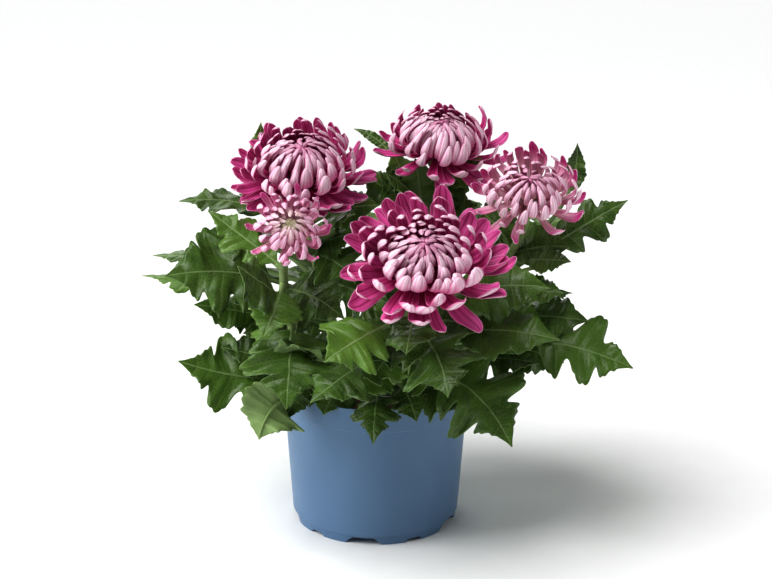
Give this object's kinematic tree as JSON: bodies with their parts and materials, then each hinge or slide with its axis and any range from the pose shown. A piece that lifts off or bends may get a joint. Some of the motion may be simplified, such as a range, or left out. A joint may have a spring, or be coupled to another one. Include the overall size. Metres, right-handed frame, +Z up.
{
  "type": "pot chrysanthemum",
  "caption": "Flowering house plant: leafy stems with lobed leaves and large many-petalled blooms, rooted in soil in a tapered plastic nursery pot with a scalloped foot ring.",
  "frame": {"origin": "on the ground, under the middle of the whole plant's outline, which is within 3 mm of the pot's axis", "axes": "+Z up along the pot's axis, +X to the viewer's right along the plant's widest spread, -Y towards the viewer"},
  "size_m": [0.3393, 0.2564, 0.2832],
  "materials": {
    "blue_polypropylene": "satin moulded polypropylene",
    "peat_soil": "rough damp peat",
    "leaf_green": "waxy leaf",
    "petal_magenta": "soft matte petal",
    "petal_pink": "soft matte petal"
  },
  "bodies": {
    "root": {"pot": "blue_polypropylene", "soil": "peat_soil", "leafy_stem_left": "leaf_green", "leafy_stem_rear": "leaf_green", "leafy_stem_front": "leaf_green", "leafy_stem_young": "leaf_green", "leafy_stem_right": "leaf_green", "bloom_left": "petal_magenta", "bloom_rear": "petal_magenta", "bloom_front": "petal_magenta", "bloom_young": "petal_pink", "bloom_right": "petal_pink"}
  },
  "joints": []
}
